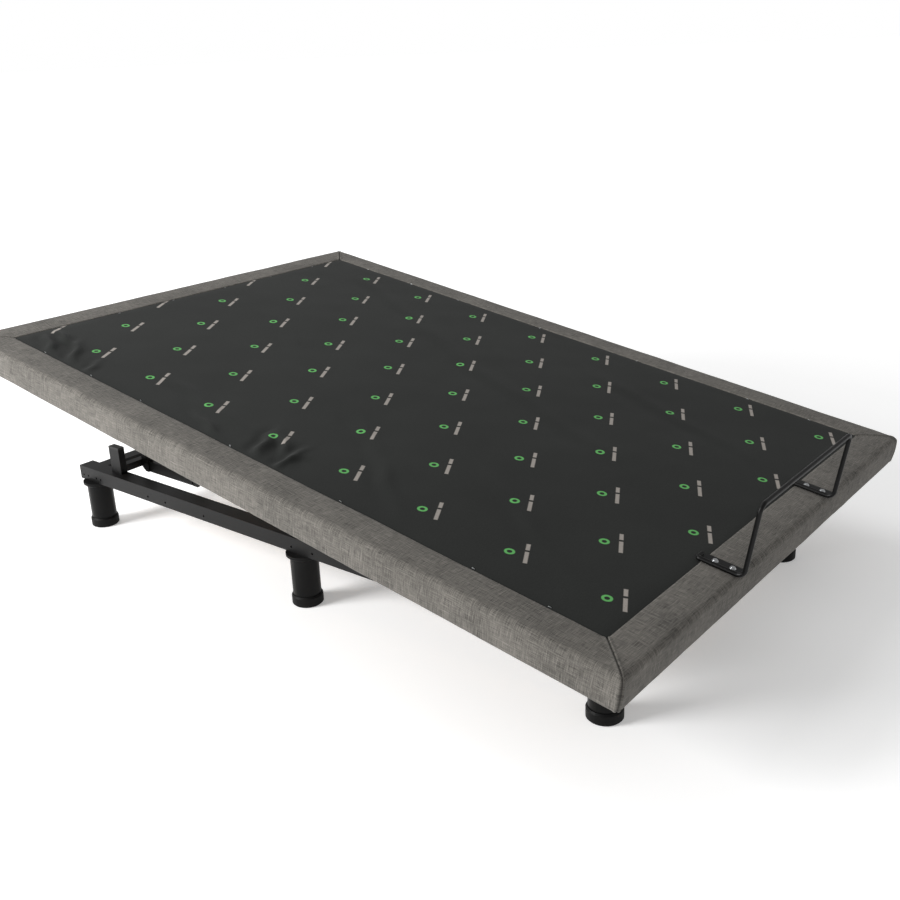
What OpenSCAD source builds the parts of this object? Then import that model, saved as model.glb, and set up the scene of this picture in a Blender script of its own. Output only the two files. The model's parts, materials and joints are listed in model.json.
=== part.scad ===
// Adjustable bed base: a steel base on six legs, a deck that tilts as one
// plane, and head, thigh and calf panels that fold on it.
// World frame: X across, Y from foot to head, Z up, floor at z = 0.
// Deck frame: x across, s up the deck from its foot edge, n out of its top.
// The model is drawn in its rest pose, with the head end of the deck raised.

/* [Deck] */
// Overall width of the deck
deck_w = 1400; // [900:10:1800]
// Overall length of the deck
deck_l = 2000; // [1850:10:2200]
// Height of the padded edge
side_h = 73; // [55:1:95]
// Width of the padded edge seen from above
border_w = 84; // [50:1:120]
// Rounding of the padded edge's top
edge_r = 15; // [5:1:25]
// Height of the deck's top edge at the foot, in the tilted pose
foot_top_z = 289; // [250:1:330]
// Full tilt of the deck in degrees
tilt = 9.4; // [7:0.1:11]

/* [Panels] */
// Length of the calf panel, foot edge to knee fold
calf_l = 540; // [420:5:620]
// Length of the thigh panel
thigh_l = 380; // [300:5:460]
// Length of the fixed seat panel
seat_l = 300; // [200:5:420]
// Depth of the fold axes under the deck's top
fold_n = 22; // [16:1:30]
// Largest rise of the head panel in degrees
head_max = 60; // [30:1:70]
// Largest rise of the thigh panel in degrees
thigh_max = 40; // [20:1:45]
// Degrees the calf panel folds back for each degree of thigh rise
calf_ratio = 1.35; // [1:0.01:1.5]
// Thickness of the panel boards
board_t = 15; // [9:1:20]
// Thickness of the black top cover
cover_t = 3; // [2:0.5:5]

/* [Base] */
// Distance over the outer faces of the two side rails
rail_span = 922; // [700:2:1100]
// Height of a side rail
rail_h = 40; // [30:1:60]
// Width of a side rail
rail_w = 45; // [30:1:60]
// Foot end of the side rails
rail_foot_y = 100; // [40:5:140]
// Head end of the side rails
rail_head_y = 1940; // [1800:5:2050]
// Wall of the square tubes
tube_wall = 2.5; // [2:0.5:4]
// Place of the first leg pair from the foot edge
leg_foot_y = 190; // [160:5:260]
// Distance between leg pairs
leg_pitch = 850; // [700:5:900]
// Height of a leg, floor to rail
leg_h = 139; // [100:1:200]
// Diameter of a leg tube
leg_d = 70; // [45:1:90]
// Diameter of the foot cap at the floor
cap_d = 78; // [60:1:100]
// Diameter of the collar under the rail
collar_d = 88; // [70:1:110]

/* [Lift gear] */
// Distance between the two lift rollers of the tilt
tilt_roller_x = 400; // [380:1:404]
// Place of the tilt torque tube from the foot edge
tilt_tube_y = 1060; // [1040:5:1120]
// Length of a tilt arm
tilt_arm = 430; // [380:5:460]
// Radius of a tilt roller
tilt_roller_r = 23; // [18:1:30]
// Length of a head lift arm
head_arm = 350; // [250:5:420]
// Length of a thigh lift arm
thigh_arm = 250; // [180:5:300]
// Radius of the head and thigh rollers
panel_roller_r = 17; // [12:1:22]
// Radius of the levers, tube centre to rod pin
lever_r = 60; // [50:1:75]

/* [Retainer] */
// Height of the mattress retainer bar above the deck
bar_h = 165; // [100:5:220]
// Diameter of the bar
bar_d = 10; // [8:1:14]
// Distance between the bar's two uprights
bar_span = 470; // [300:10:700]
// Place of the bar's first upright across the deck
bar_x = -260; // [-400:5:-150]

/* [Hidden] */

e = 0.02;
run = 0.05;                       // radial running clearance
soft = 0.4;                       // room round soft pieces
steel = "#2b2c2e";
zinc = "#9a9da0";
plastic = "#1c1c1e";

// fold lines along the deck
knee_s = calf_l;
hip_s = calf_l + thigh_l;
waist_s = hip_s + seat_l;

// the outline ends at the bar in front and at the deck's lower head edge behind
bar_s = -bar_d / 2 - 3;
y_min = bar_s * cos(tilt) - bar_h * sin(tilt) - bar_d / 2;
y_max = deck_l * cos(tilt) + side_h * sin(tilt);
y_mid = (y_min + y_max) / 2;

// base levels
rail_z = leg_h;
rail_top = rail_z + rail_h;
rail_in = rail_span / 2 - rail_w;
rail_mid = rail_span / 2 - rail_w / 2;
leg_y = [leg_foot_y, leg_foot_y + leg_pitch, leg_foot_y + 2 * leg_pitch];
post_y = leg_y[2] - 100;

// deck layers, measured down from the top
frame_top = cover_t + board_t + 0.5;
frame_h = 20;
frame_n = frame_top + frame_h;          // underside of the panel frames
sub_top = frame_n + 1.5;
sub_h = 23;
sub_n = sub_top + sub_h;                // underside of the sub-frame
sub_w = 60;
sub_x = 415;
inner_w = deck_w - 2 * border_w;

// tilt pivot, in the world
pivot_y = 200;
pivot_z = 225;
pivot_s = pivot_y * cos(tilt) + (pivot_z - foot_top_z) * sin(tilt);
pivot_n = -pivot_y * sin(tilt) + (pivot_z - foot_top_z) * cos(tilt);

// the cross tubes clear the tilt hinges and carry the tilt tube's saddles
cross_y = [pivot_y - 52, tilt_tube_y - 56, leg_y[2]];

// tilt lift
tilt_tube_z = rail_z + 26;
tilt_tube_r = 15;
tilt_gap = 2;                           // room a tilt arm needs part way up
tilt_off = sub_n + tilt_roller_r + tilt_gap;
tube_n = -tilt_tube_y * sin(tilt) + (tilt_tube_z - foot_top_z) * cos(tilt);
tilt_up = tilt + asin((-tilt_off - tube_n) / tilt_arm);
tilt_down = asin((pivot_z - pivot_n - tilt_off - tilt_tube_z) / tilt_arm);
tilt_sweep = tilt_up - tilt_down;
lever_mid = 90;                         // the tilt lever stands up at mid sweep
tilt_lever_up = lever_mid + tilt_sweep / 2;

// head and thigh lift: tubes straight below the fold axes
track = frame_n;
panel_off = track + panel_roller_r + 0.3 - fold_n;
panel_tube_n = fold_n + panel_off;
panel_tube_r = 13;
track_x = 250;
head_swing = swing(panel_off, head_arm, head_max);
thigh_swing = swing(panel_off, thigh_arm, thigh_max);
head_x = -150;
thigh_x = 150;
lever_pin_r = 5;

// angle an arm of length l turns through while its panel rises by a degrees,
// with its tube h below the fold axis
function swing(h, l, a) =
  let (b = 2 * h * sin(a), c = h * h * (2 - 2 * cos(a)) - l * l,
       u = (-b + sqrt(b * b - 4 * c)) / 2)
  atan2(u * sin(a) + h * (1 - cos(a)), u * cos(a) + h * sin(a));

// ---- placing -------------------------------------------------------------
module world() translate([0, -y_mid, 0]) children();
module deck() world() translate([0, 0, foot_top_z]) rotate([tilt, 0, 0]) children();
module both() { children(); mirror([1, 0, 0]) children(); }
// a box given by its low corner and high corner
module span(a, b) translate(a) cube(b - a);
module xrod(r, x0, x1) translate([x0, 0, 0]) rotate([0, 90, 0])
  cylinder(r = r, h = x1 - x0, $fn = 48);
// a side profile drawn in (s, n), given thickness along x
module slab(x0, x1) translate([x0, 0, 0]) rotate([90, 0, 90])
  linear_extrude(x1 - x0) children();
module tube_y(w, h, l, wall) difference() {
  cube([w, l, h]);
  translate([wall, -1, wall]) cube([w - 2 * wall, l + 2, h - 2 * wall]);
}
module tube_x(w, h, l, wall) difference() {
  cube([l, w, h]);
  translate([-1, wall, wall]) cube([l + 2, w - 2 * wall, h - 2 * wall]);
}

// ---- base ----------------------------------------------------------------
hole_back = [5, 27, 66, 87, 307, 383, 544, 874, 946];

module side_rails() color(steel) world() both() difference() {
  translate([rail_in, rail_foot_y, rail_z])
    tube_y(rail_w, rail_h, rail_head_y - rail_foot_y, tube_wall);
  for (b = hole_back) translate([0, rail_head_y - 8 - b, rail_z + 14])
    xrod(3.2, rail_span / 2 - 2 * tube_wall, rail_span / 2 + 1);
}

module rail_plugs() color(plastic) world() both()
  for (end = [0, 1])
    translate([rail_in, end ? rail_head_y : rail_foot_y - 3, rail_z]) {
      cube([rail_w, 3, rail_h]);
      translate([tube_wall, end ? -14 : 3 - e, tube_wall])
        cube([rail_w - 2 * tube_wall, 14 + e, rail_h - 2 * tube_wall]);
    }

module cross_tubes() color(steel) world()
  for (y = cross_y) translate([-rail_in, y - 20, rail_z])
    tube_x(40, rail_h, 2 * rail_in, tube_wall);

post_x = rail_in + 14;
upper_z = rail_top;
module upper_cross_tube() color(steel) world()
  translate([-post_x + 10, post_y - 12, upper_z])
    tube_x(24, 20, 2 * post_x - 20, 2);

module rest_posts() color(steel) world() both()
  translate([post_x - 10, post_y - 22, rail_top])
    difference() {
      cube([20, 45, pad_z - rail_top]);
      translate([2, 2, -1]) cube([16, 41, pad_z - rail_top - 1]);
    }

flat_under = pivot_z - pivot_n - sub_n;   // sub-frame's underside when flat
pad_z = flat_under - 6;
module post_pads() color(plastic) world() both()
  translate([post_x - 10, post_y - 22, pad_z]) cube([20, 45, 5.5]);

inner_x = 352;
module inner_posts() color(steel) world() both()
  slab(inner_x - 10, inner_x + 10)
    polygon([[post_y - 12, rail_z + 38], [post_y - 26, rail_z + 26], [post_y - 40, rail_z + 26],
             [post_y - 40, pad_z - 6], [post_y - 12, pad_z - 6]]);

module inner_beams() color(steel) world() both()
  translate([inner_x - 6, post_y - 230, rail_top - 14])
    tube_y(12, 32, 190, 2);

module gusset_arms() color(steel) world() both()
  slab(inner_x - 4, inner_x + 4)
    polygon([[post_y - 230, rail_z + 24], [post_y - 230, rail_top + 16],
             [post_y - 238, rail_top + 22], [post_y - 252, rail_top + 46],
             [post_y - 266, rail_top + 46], [post_y - 276, rail_top + 36],
             [post_y - 256, rail_top + 8], [post_y - 250, rail_z + 24]]);

module legs_at() both() for (y = leg_y) translate([rail_mid, y, 0]) children();
collar_h = 13;
cap_h = 28;
module leg_tubes() color(steel) world() legs_at() difference() {
  translate([0, 0, 4]) cylinder(d = leg_d, h = leg_h - collar_h - 4, $fn = 64);
  translate([0, 0, -1]) cylinder(d = leg_d - 5, h = leg_h - collar_h - 2, $fn = 64);
}
module leg_collars() color(plastic) world() legs_at()
  translate([0, 0, leg_h - collar_h]) {
    cylinder(d1 = leg_d + 4, d2 = collar_d, h = 6, $fn = 64);
    translate([0, 0, 6 - e]) cylinder(d = collar_d, h = collar_h - 6 + e, $fn = 64);
  }
module foot_caps() color(plastic) world() legs_at() difference() {
  union() {
    cylinder(d1 = cap_d - 6, d2 = cap_d, h = 3, $fn = 64);
    translate([0, 0, 3 - e]) cylinder(d = cap_d, h = cap_h - 8 + e, $fn = 64);
    translate([0, 0, cap_h - 5 - e]) cylinder(d1 = cap_d, d2 = leg_d + 3, h = 5 + e, $fn = 64);
  }
  translate([0, 0, 4]) cylinder(d = leg_d, h = cap_h, $fn = 64);
}

pin_r = 6;
brk_x = rail_in - 8;
module tilt_brackets() color(steel) world() both() difference() {
  union() {
    slab(brk_x, brk_x + 6) polygon([[pivot_y - 30, rail_z + 4], [pivot_y + 30, rail_z + 4],
      [pivot_y + 16, pivot_z + 6], [pivot_y + 8, pivot_z + 14], [pivot_y - 8, pivot_z + 14],
      [pivot_y - 16, pivot_z + 6]]);
    span([brk_x + 6 - e, pivot_y - 30, rail_z + 4], [rail_in, pivot_y + 30, rail_z + 34]);
  }
  translate([0, pivot_y, pivot_z]) xrod(pin_r, brk_x - 1, brk_x + 7);
}
module tilt_pins() color(zinc) world() both() translate([0, pivot_y, pivot_z]) {
  xrod(pin_r, brk_x - 16, brk_x + 6);
  xrod(pin_r + 4, brk_x + 6 - e, brk_x + 10);
  xrod(pin_r + 3, brk_x - 19, brk_x - 16 + e);
}

saddle_x = 300;
module tube_saddles() color(steel) world() both() difference() {
  slab(saddle_x - 4, saddle_x + 4) polygon([
    [cross_y[1] + 20, rail_z + 2], [tilt_tube_y + 10, rail_z + 2],
    [tilt_tube_y + 24, tilt_tube_z - 8], [tilt_tube_y + 24, tilt_tube_z + 12],
    [tilt_tube_y + 12, tilt_tube_z + 24], [tilt_tube_y - 12, tilt_tube_z + 24],
    [cross_y[1] + 20, rail_top - 2]]);
  translate([0, tilt_tube_y, tilt_tube_z])
    xrod(tilt_tube_r + run, saddle_x - 5, saddle_x + 5);
}

// ---- actuators -----------------------------------------------------------
// an actuator in its own frame: pivot at the origin, rod along +Y; the motor
// body reaches to body_l and the rod's pin sits at reach
body_l = 300;
tail_r = 8;
module actuator_body(w) difference() {
  union() {
    span([-w / 2, -14, -16], [w / 2, 30, 16]);
    span([-w / 2 - 10, 30 - e, -24], [w / 2 + 10, 120, 24]);
    translate([0, 120 - e, 4]) rotate([-90, 0, 0]) cylinder(r = 18, h = body_l - 120, $fn = 48);
    translate([0, body_l - 22, 4]) rotate([-90, 0, 0]) cylinder(r = 21, h = 22, $fn = 48);
  }
  xrod(tail_r + run, -w, w);
  translate([0, body_l - 152, 0]) rotate([-90, 0, 0]) cylinder(r = 10.06, h = 160, $fn = 48);
}
fork_l = 34;                            // lets the lever swing inside the fork
module actuator_rod(reach, w) {
  translate([0, body_l - 140, 0]) rotate([-90, 0, 0])
    cylinder(r = 10, h = reach - body_l + 140 - fork_l + 1, $fn = 48);
  span([-w / 2 - 7, reach - fork_l, -10], [w / 2 + 7, reach - fork_l + 8, 10]);
  for (sx = [-1, 1]) translate([sx * (w / 2 + 4.5), 0, 0])
    span([-2.5, reach - fork_l + 7, -10], [2.5, reach + 10, 10]);
  translate([0, reach, 0]) xrod(lever_pin_r, -w / 2 - 10, w / 2 + 10);
}
// a lever plate pair folded to one plate with a slot that takes the rod's pin
module lever(sweep, t) difference() {
  slab(-t / 2, t / 2) difference() {
    polygon([[-17, -2], [-13, lever_r + 6], [-7, lever_r + 13], [7, lever_r + 13],
             [13, lever_r + 6], [17, -2]]);
  }
  slab(-t, t) {
    translate([-lever_pin_r - 1, lever_r * cos(sweep / 2) - 1.5])
      square([2 * lever_pin_r + 2, lever_r * (1 - cos(sweep / 2)) + 2]);
    translate([0, lever_r]) circle(r = lever_pin_r + 1, $fn = 48);
    translate([0, lever_r * cos(sweep / 2) - 1.5]) circle(r = lever_pin_r + 1, $fn = 48);
  }
}

// an arm plate in its own frame: tube at the origin, roller pin at l along +Y
module arm_plate(l, r0, r1) rotate([90, 0, 90]) linear_extrude(8) difference() {
  union() {
    circle(r = r0, $fn = 48);
    translate([l, 0]) circle(r = r1, $fn = 32);
    polygon([[0, -r0], [l, -r1], [l, r1], [0, r0]]);
  }
  translate([l, 0]) circle(r = 6, $fn = 32);
}

// ---- tilt lift -----------------------------------------------------------
module tilt_axis() world() translate([0, tilt_tube_y, tilt_tube_z]) children();
arm_x = tilt_roller_x - 24;
module tilt_torque_tube() color(steel) tilt_axis() {
  xrod(tilt_tube_r, -arm_x - 8, arm_x + 8);
  rotate([tilt_lever_up - 90, 0, 0]) lever(tilt_sweep, 10);
}
module tilt_arms() color(steel) tilt_axis() both() difference() {
  translate([arm_x - 1, 0, 0]) rotate([tilt_up, 0, 0]) arm_plate(tilt_arm, 24, 14);
  xrod(tilt_tube_r, 0, arm_x + 10);
}
module tilt_tip() tilt_axis() rotate([tilt_up, 0, 0]) translate([0, tilt_arm, 0]) children();
module tilt_roller_pins() color(zinc) tilt_tip() both() {
  xrod(6, arm_x - 1, tilt_roller_x + 13);
  xrod(9, arm_x - 4, arm_x - 1 + e);
}
module tilt_rollers() color(plastic) tilt_tip() both() difference() {
  xrod(tilt_roller_r, tilt_roller_x - 12, tilt_roller_x + 12);
  xrod(6 + run, tilt_roller_x - 13, tilt_roller_x + 13);
}

// the tilt motor stands level on the foot cross tube; its rod's pin runs in
// the lever's slot, at the lever's full radius at both ends of the sweep
motor_y = leg_y[0] + 330;
motor_z = tilt_tube_z + lever_r * cos(tilt_sweep / 2);
tilt_reach = tilt_tube_y - lever_r * sin(tilt_sweep / 2) - motor_y;
module tilt_line_at() world() translate([0, motor_y, motor_z]) children();
module tilt_motor() color(plastic) tilt_line_at() actuator_body(36);
module tilt_rod() color(zinc) tilt_line_at() actuator_rod(tilt_reach, 12);
module tilt_motor_bracket() color(steel) world() {
  both() slab(20, 26) polygon([[cross_y[0] + 20, rail_z + 4], [cross_y[0] + 60, rail_z + 4],
    [motor_y + 6, motor_z - 20], [motor_y + 18, motor_z - 8], [motor_y + 18, motor_z + 8],
    [motor_y + 8, motor_z + 16], [motor_y - 10, motor_z + 16], [cross_y[0] + 20, rail_top - 2]]);
  translate([0, motor_y, motor_z]) xrod(tail_r, -29, 29);
}

module control_box() color(plastic) world() difference() {
  translate([-330, cross_y[1] - 180, rail_z + 2]) cube([120, 160, 38]);
  for (k = [0:3]) translate([-316 + k * 27, cross_y[1] - 181, rail_z + 14]) cube([14, 9, 12]);
}
module power_box() color(plastic) world() difference() {
  translate([210, cross_y[1] - 170, rail_z + 2]) cube([80, 150, 34]);
  translate([236, cross_y[1] - 171, rail_z + 12]) cube([22, 9, 14]);
}

// ---- deck sub-frame ------------------------------------------------------
sub_foot_s = 90;
sub_head_s = deck_l - 90;
sub_cross = [sub_foot_s, sub_head_s - 40];
module sub_frame() color(steel) deck() {
  both() translate([sub_x - sub_w / 2, sub_foot_s, -sub_n])
    tube_y(sub_w, sub_h, sub_head_s - sub_foot_s, tube_wall);
  for (s = sub_cross) translate([-sub_x + sub_w / 2 + weld, s, -sub_n])
    tube_x(40, sub_h, 2 * sub_x - sub_w - 2 * weld, tube_wall);
  // straps that carry the seat panel's outer tubes
  both() for (s = [hip_s + 60, waist_s - 80])
    span([sub_x - 20, s, -sub_top + weld], [580, s + 30, -frame_n]);
}
lug_x = brk_x - 12;
module tilt_lugs() color(steel) deck() both() difference() {
  slab(lug_x, lug_x + 8) polygon([[pivot_s - 45, -sub_n], [pivot_s + 45, -sub_n],
    [pivot_s + 14, pivot_n - 4], [pivot_s + 6, pivot_n - 12], [pivot_s - 6, pivot_n - 12],
    [pivot_s - 14, pivot_n - 4]]);
  translate([0, pivot_s, pivot_n]) xrod(pin_r + run, lug_x - 1, lug_x + 9);
}

// two keel plates carry the head and thigh tubes, the motors and the calf stay
keel_x = 215;
module keel_lobe(s, r) polygon([[s - 30, -sub_n + e], [s - 12, -panel_tube_n - r],
  [s + 12, -panel_tube_n - r], [s + 30, -sub_n + e]]);
module keel_plates() color(steel) deck() {
  both() difference() {
    slab(keel_x - 3, keel_x + 3) {
      translate([sub_foot_s + 40, -sub_n]) square([sub_head_s - sub_foot_s - 80, sub_h - 0.5]);
      keel_lobe(hip_s, 24);
      keel_lobe(waist_s, 24);
    }
    for (s = [hip_s, waist_s]) translate([0, s, -panel_tube_n])
      xrod(panel_tube_r + run, keel_x - 4, keel_x + 4);
    translate([0, stay_s, -stay_n]) xrod(stay_r + run, keel_x - 4, keel_x + 4);
  }
  // ties from the keels out to the sub-frame, in the seat's zone
  both() for (s = [hip_s + 90, waist_s - 110])
    span([keel_x + 3 + weld, s, -sub_n], [sub_x - sub_w / 2 - weld, s + 20, -sub_n + 14]);
}
// head and thigh motors lie along the deck; their cheeks hang from bars
// between the keels
motor_s = hip_s - 130;
motor2_s = waist_s + 130;
deck_motor_n = panel_tube_n + lever_r * cos(head_swing / 2);
thigh_motor_n = panel_tube_n + lever_r * cos(thigh_swing / 2);
module motor_cheeks(x, s, n) {
  for (sx = [-1, 1]) slab(x + sx * 23 - 3, x + sx * 23 + 3) polygon([
    [s - 20, -sub_n + e], [s + 20, -sub_n + e], [s + 14, -n - 8],
    [s + 6, -n - 14], [s - 6, -n - 14], [s - 14, -n - 8]]);
  span([-keel_x + 3 + weld, s - 20, -sub_n], [keel_x - 3 - weld, s + 20, -sub_n + 16]);
  translate([x, s, -n]) xrod(tail_r, -29, 29);
}
module deck_motor_brackets() color(steel) deck() {
  motor_cheeks(head_x, motor_s, deck_motor_n);
  motor_cheeks(thigh_x, motor2_s, thigh_motor_n);
}
module head_line() deck() translate([head_x, motor_s, -deck_motor_n]) children();
module thigh_line() deck() translate([thigh_x, motor2_s, -thigh_motor_n])
  rotate([0, 0, 180]) children();
module head_motor() color(plastic) head_line() actuator_body(36);
module thigh_motor() color(plastic) thigh_line() actuator_body(36);
module head_rod() color(zinc) head_line()
  actuator_rod(waist_s - lever_r * sin(head_swing / 2) - motor_s, 12);
module thigh_rod() color(zinc) thigh_line()
  actuator_rod(motor2_s - hip_s - lever_r * sin(thigh_swing / 2), 12);

// ---- panels --------------------------------------------------------------
// A panel's piece between s0 and s1 in side view, from n = -a up to n = -b.
// v0 and v1 are the fold angles at its two ends: positive folds close above
// the fold axis, negative ones close below it.
function cut_top(v) = v > 0 ? fold_n * tan(v / 2) : 0;
function cut_bot(v, a) = v < 0 ? (a - fold_n) * tan(-v / 2) : 0;
fold_gap = 1.5;
module outline(s0, s1, a, v0, v1) {
  g0 = v0 == 0 ? 0 : fold_gap;
  g1 = v1 == 0 ? 0 : fold_gap;
  polygon([[s0 + g0 + cut_top(v0), 0], [s0 + g0, -fold_n],
    [s0 + g0 + cut_bot(v0, a), -a], [s1 - g1 - cut_bot(v1, a), -a],
    [s1 - g1, -fold_n], [s1 - g1 - cut_top(v1), 0]]);
}
calf_max = calf_ratio * thigh_max;
module layer(s0, s1, x, top, bot, v0, v1) intersection() {
  slab(-x, x) outline(s0, s1, side_h, v0, v1);
  span([-x, s0 - 1, -bot], [x, s1 + 1, -top]);
}
module border_solid(s0, s1, v0, v1, end0, end1) difference() {
  intersection() {
    slab(-deck_w / 2, deck_w / 2) outline(s0, s1, side_h, v0, v1);
    rounded_block(s0 - (end0 ? 0 : 60), s1 + (end1 ? 0 : 60));
  }
  span([-inner_w / 2, s0 + (end0 ? border_w : -1), -side_h - 1],
       [inner_w / 2, s1 - (end1 ? border_w : -1), 1]);
}
// the whole deck's padded body, rounded along its top edge
module rounded_block(s0, s1) intersection() {
  slab(-deck_w / 2, deck_w / 2) {
    translate([s0, -side_h]) square([s1 - s0, side_h - edge_r]);
    translate([s0 + edge_r, -side_h]) square([s1 - s0 - 2 * edge_r, side_h]);
    for (s = [s0 + edge_r, s1 - edge_r]) translate([s, -edge_r]) circle(r = edge_r, $fn = 32);
  }
  translate([0, s1, 0]) rotate([90, 0, 0]) linear_extrude(s1 - s0) {
    translate([-deck_w / 2, -side_h]) square([deck_w, side_h - edge_r]);
    translate([-deck_w / 2 + edge_r, -side_h]) square([deck_w - 2 * edge_r, side_h]);
    for (x = [-1, 1]) translate([x * (deck_w / 2 - edge_r), -edge_r])
      circle(r = edge_r, $fn = 32);
  }
}
module cover_solid(s0, s1, v0, v1)
  layer(s0, s1, inner_w / 2 - soft, 0, cover_t, v0, v1);
fin = 12;                               // frames and boards stop short of a fold
module board_solid(s0, s1, v0, v1) intersection() {
  layer(s0, s1, inner_w / 2 - soft, cover_t + soft, cover_t + board_t, v0, v1);
  span([-deck_w, s0 + (v0 == 0 ? 0 : fin), -side_h], [deck_w, s1 - (v1 == 0 ? 0 : fin), 1]);
}
// a ladder frame under a board: four long tubes, and a bar in three lengths
// between them at each s in bars
weld = 0.05;                            // room for the weld between two tubes
long_x = [-580, -track_x - 15, track_x - 15, 550];
module ladder(s0, s1, bars) {
  for (x = long_x) translate([x, s0, -frame_n]) tube_y(30, frame_h, s1 - s0, 2);
  for (s = bars, k = [0:2]) translate([long_x[k] + 30 + weld, s, -frame_n])
    tube_x(25, frame_h, long_x[k + 1] - long_x[k] - 30 - 2 * weld, 2);
}
// fold knuckles: a leaf on each of the two frames and a pin through both
knuckle_x = [-530, -170, 170, 530];
leaf_w = 12;
pin4 = 4;
module leaves(s, dir) for (x = knuckle_x) difference() {
  union() {
    translate([0, s, -fold_n]) xrod(9, x + dir * 6.5 - 6, x + dir * 6.5 + 6);
    slab(x + dir * 6.5 - 6, x + dir * 6.5 + 6)
      polygon([[s, -fold_n - 9], [s + dir * (fin + 8), -fold_n - 9],
               [s + dir * (fin + 8), -frame_top - 1], [s + dir * 7, -frame_top - 1],
               [s, -fold_n + 2]]);
  }
  translate([0, s, -fold_n]) xrod(pin4 + run, x - 14, x + 14);
}
module leaf_pins(s) for (x = knuckle_x) translate([0, s, -fold_n]) {
  xrod(pin4, x - 13.5, x + 13.5);
  xrod(6, x - 16.5, x - 13.5 + e);
  xrod(6, x + 13.5 - e, x + 15.5);
}
module head_frame() color(steel) deck() {
  ladder(waist_s + fin, deck_l - border_w - 6, [waist_s + fin, waist_s + 400,
    deck_l - border_w - 31]);
  leaves(waist_s, 1);
}
module seat_frame() color(steel) deck() {
  ladder(hip_s + fin, waist_s - fin, [hip_s + fin, waist_s - fin - 25]);
  leaves(hip_s, 1);
  leaves(waist_s, -1);
}
module thigh_frame() color(steel) deck() {
  ladder(knee_s + fin, hip_s - fin, [knee_s + fin, hip_s - fin - 25]);
  leaves(knee_s, 1);
  leaves(hip_s, -1);
}
module calf_frame() color(steel) deck() {
  ladder(border_w + 6, knee_s - fin, [border_w + 6, stay_pin_s - 12, knee_s - fin - 25]);
  leaves(knee_s, -1);
  // welded lugs, slotted along the path that the calf stay's pin takes in them
  both() slab(stay_x - 16, stay_x - 9) difference() {
    polygon([[stay_pin_s - 24, -frame_n - weld], [stay_pin_s + 28, -frame_n - weld],
             [stay_pin_s + 20, -stay_pin_n - 14], [stay_pin_s - 16, -stay_pin_n - 14]]);
    for (f = [0:1 / 8:1]) translate(stay_pin_in_calf(f))
      circle(r = stay_pin_r + stay_play, $fn = 48);
  }
}
module fold_pins() color(zinc) deck() { leaf_pins(hip_s); leaf_pins(waist_s); }
module knee_pins() color(zinc) deck() leaf_pins(knee_s);

module head_board() color("#b08d62") deck()
  board_solid(waist_s, deck_l - border_w - soft, head_max, 0);
module seat_board() color("#b08d62") deck()
  board_solid(hip_s, waist_s, thigh_max, head_max);
module thigh_board() color("#b08d62") deck()
  board_solid(knee_s, hip_s, -calf_max, thigh_max);
module calf_board() color("#b08d62") deck()
  board_solid(border_w + soft, knee_s, 0, -calf_max);

module head_cover() color("#2a2b2b") deck()
  cover_solid(waist_s, deck_l - border_w - soft, head_max, 0);
module seat_cover() color("#2a2b2b") deck() cover_solid(hip_s, waist_s, thigh_max, head_max);
module thigh_cover() color("#2a2b2b") deck() cover_solid(knee_s, hip_s, -calf_max, thigh_max);
module calf_cover() color("#2a2b2b") deck()
  cover_solid(border_w + soft, knee_s, 0, -calf_max);

module head_border() color("#8a857e") deck()
  border_solid(waist_s, deck_l, head_max, 0, false, true);
module seat_border() color("#8a857e") deck()
  border_solid(hip_s, waist_s, thigh_max, head_max, false, false);
module thigh_border() color("#8a857e") deck()
  border_solid(knee_s, hip_s, -calf_max, thigh_max, false, false);
module calf_border() color("#8a857e") deck()
  border_solid(0, knee_s, 0, -calf_max, true, false);

// ---- calf stay -----------------------------------------------------------
// A bar on the keels whose two arms hold the calf panel up. Its pivot is as far
// from the panel's pin at rest as with the thigh fully raised.
stay_x = 207;
stay_r = 8;
stay_pin_r = 4;
stay_play = 1;
stay_n = 52;
stay_pin_n = 52;
stay_pin_s = knee_s - 260;
stay_up_s = hip_s - thigh_l * cos(thigh_max)
  - 260 * cos(calf_max - thigh_max) + (stay_pin_n - fold_n) * sin(calf_max - thigh_max);
stay_up_n = -fold_n + thigh_l * sin(thigh_max)
  - 260 * sin(calf_max - thigh_max) - (stay_pin_n - fold_n) * cos(calf_max - thigh_max);
stay_s = ((stay_up_s ^ 2 + stay_up_n ^ 2 - stay_pin_s ^ 2 - stay_pin_n ^ 2) / 2
  + stay_n * (stay_up_n + stay_pin_n)) / (stay_up_s - stay_pin_s);
stay_down_a = atan2(stay_n - stay_pin_n, stay_pin_s - stay_s);
stay_up_a = atan2(stay_up_n + stay_n, stay_up_s - stay_s);
stay_sweep = (stay_down_a + 360) % 360 - (stay_up_a + 360) % 360;
stay_arm = norm([stay_pin_s - stay_s, stay_n - stay_pin_n]);
function turned(p, a) = [p[0] * cos(a) - p[1] * sin(a), p[0] * sin(a) + p[1] * cos(a)];
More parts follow.
